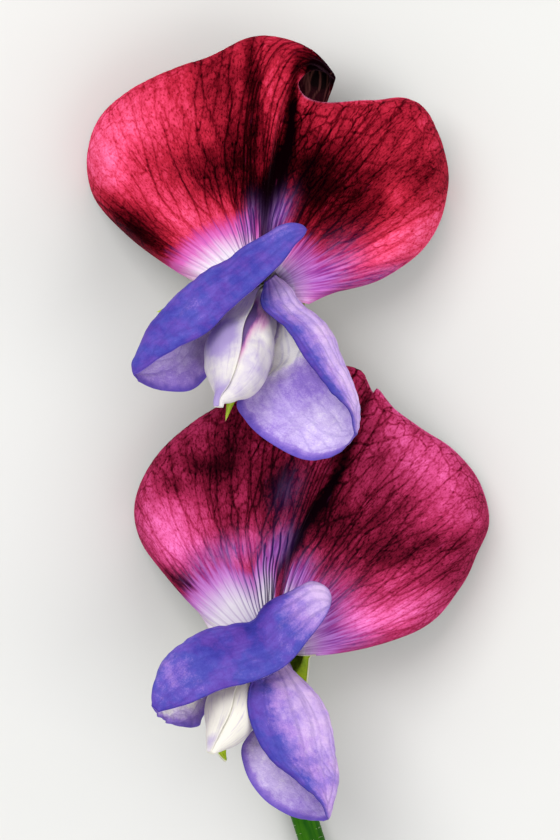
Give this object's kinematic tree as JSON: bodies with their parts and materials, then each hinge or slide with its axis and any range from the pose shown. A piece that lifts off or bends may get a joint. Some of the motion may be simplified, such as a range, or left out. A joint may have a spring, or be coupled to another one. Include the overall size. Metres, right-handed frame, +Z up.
{
  "type": "sweet pea flower stem",
  "caption": "Cut sweet pea stem lying on its back, with open blooms of broad curled standards, folded violet wings and pale keels, for a bouquet or still life.",
  "frame": {"origin": "on the surface the stem lies on, under the middle of the part's box", "axes": "+Y runs up the stem from the cut end to the upper bloom, +Z points up from the surface to the front of the blooms, +X is to the right seen from above"},
  "size_m": [0.0412, 0.1329, 0.0269],
  "materials": {
    "stem": "smooth green stem, faintly hairy",
    "calyx": "yellow-green, hairy",
    "standard": "velvety crimson-magenta petal with dark net veins, white to lilac at its base",
    "wing": "velvety blue-violet petal, pale lilac inside",
    "keel": "satin white petal with lilac shading",
    "stamens": "pale cream filaments with yellow anthers",
    "pistil": "soft pale green"
  },
  "bodies": {
    "root": {"stem": "stem", "calyx_upper": "calyx", "calyx_lower": "calyx", "standard_upper": "standard", "standard_lower": "standard", "wing_left_upper": "wing", "wing_left_lower": "wing", "wing_right_upper": "wing", "wing_right_lower": "wing", "keel_upper": "keel", "keel_lower": "keel", "stamens_upper": "stamens", "stamens_lower": "stamens", "pistil_upper": "pistil", "pistil_lower": "pistil"}
  },
  "joints": []
}
